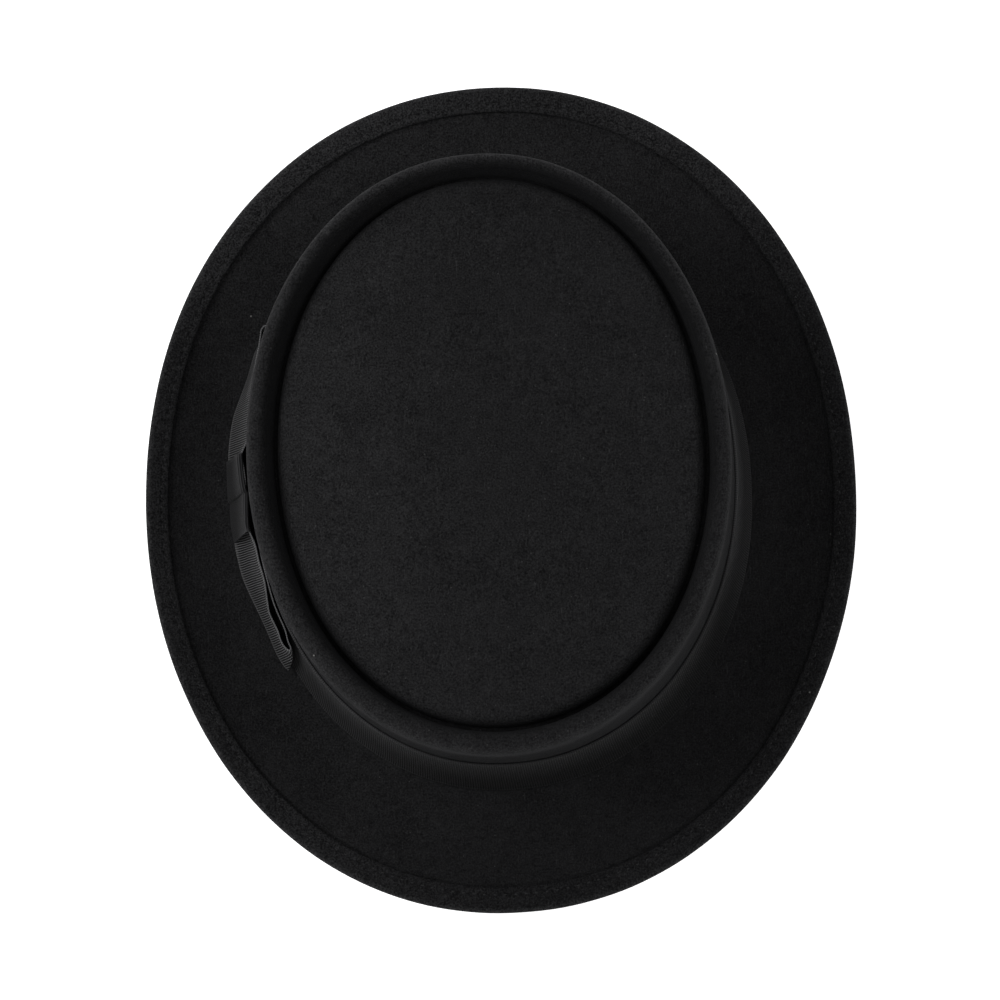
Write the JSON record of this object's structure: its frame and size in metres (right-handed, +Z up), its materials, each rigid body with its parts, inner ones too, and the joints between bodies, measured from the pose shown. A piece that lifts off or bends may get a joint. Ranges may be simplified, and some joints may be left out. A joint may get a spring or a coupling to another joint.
{
  "type": "porkpie hat",
  "caption": "Black felt porkpie hat with a flat creased crown, a slightly curled welted brim and a grosgrain band with a flat side bow, worn on the head.",
  "frame": {"origin": "on the surface that the hat rests on, under the middle of the crown and brim", "axes": "+X to the wearer's right, +Y to the front, +Z up; the bow is on the wearer's left, at -X"},
  "size_m": [0.2462, 0.2918, 0.088],
  "materials": {
    "felt": "matte wool felt with a short nap",
    "ribbon": "ribbed grosgrain with a dull sheen"
  },
  "bodies": {
    "root": {"felt_body": "felt", "hat_band": "ribbon", "bow_front_loop": "ribbon", "bow_rear_loop": "ribbon", "bow_knot": "ribbon"}
  },
  "joints": []
}
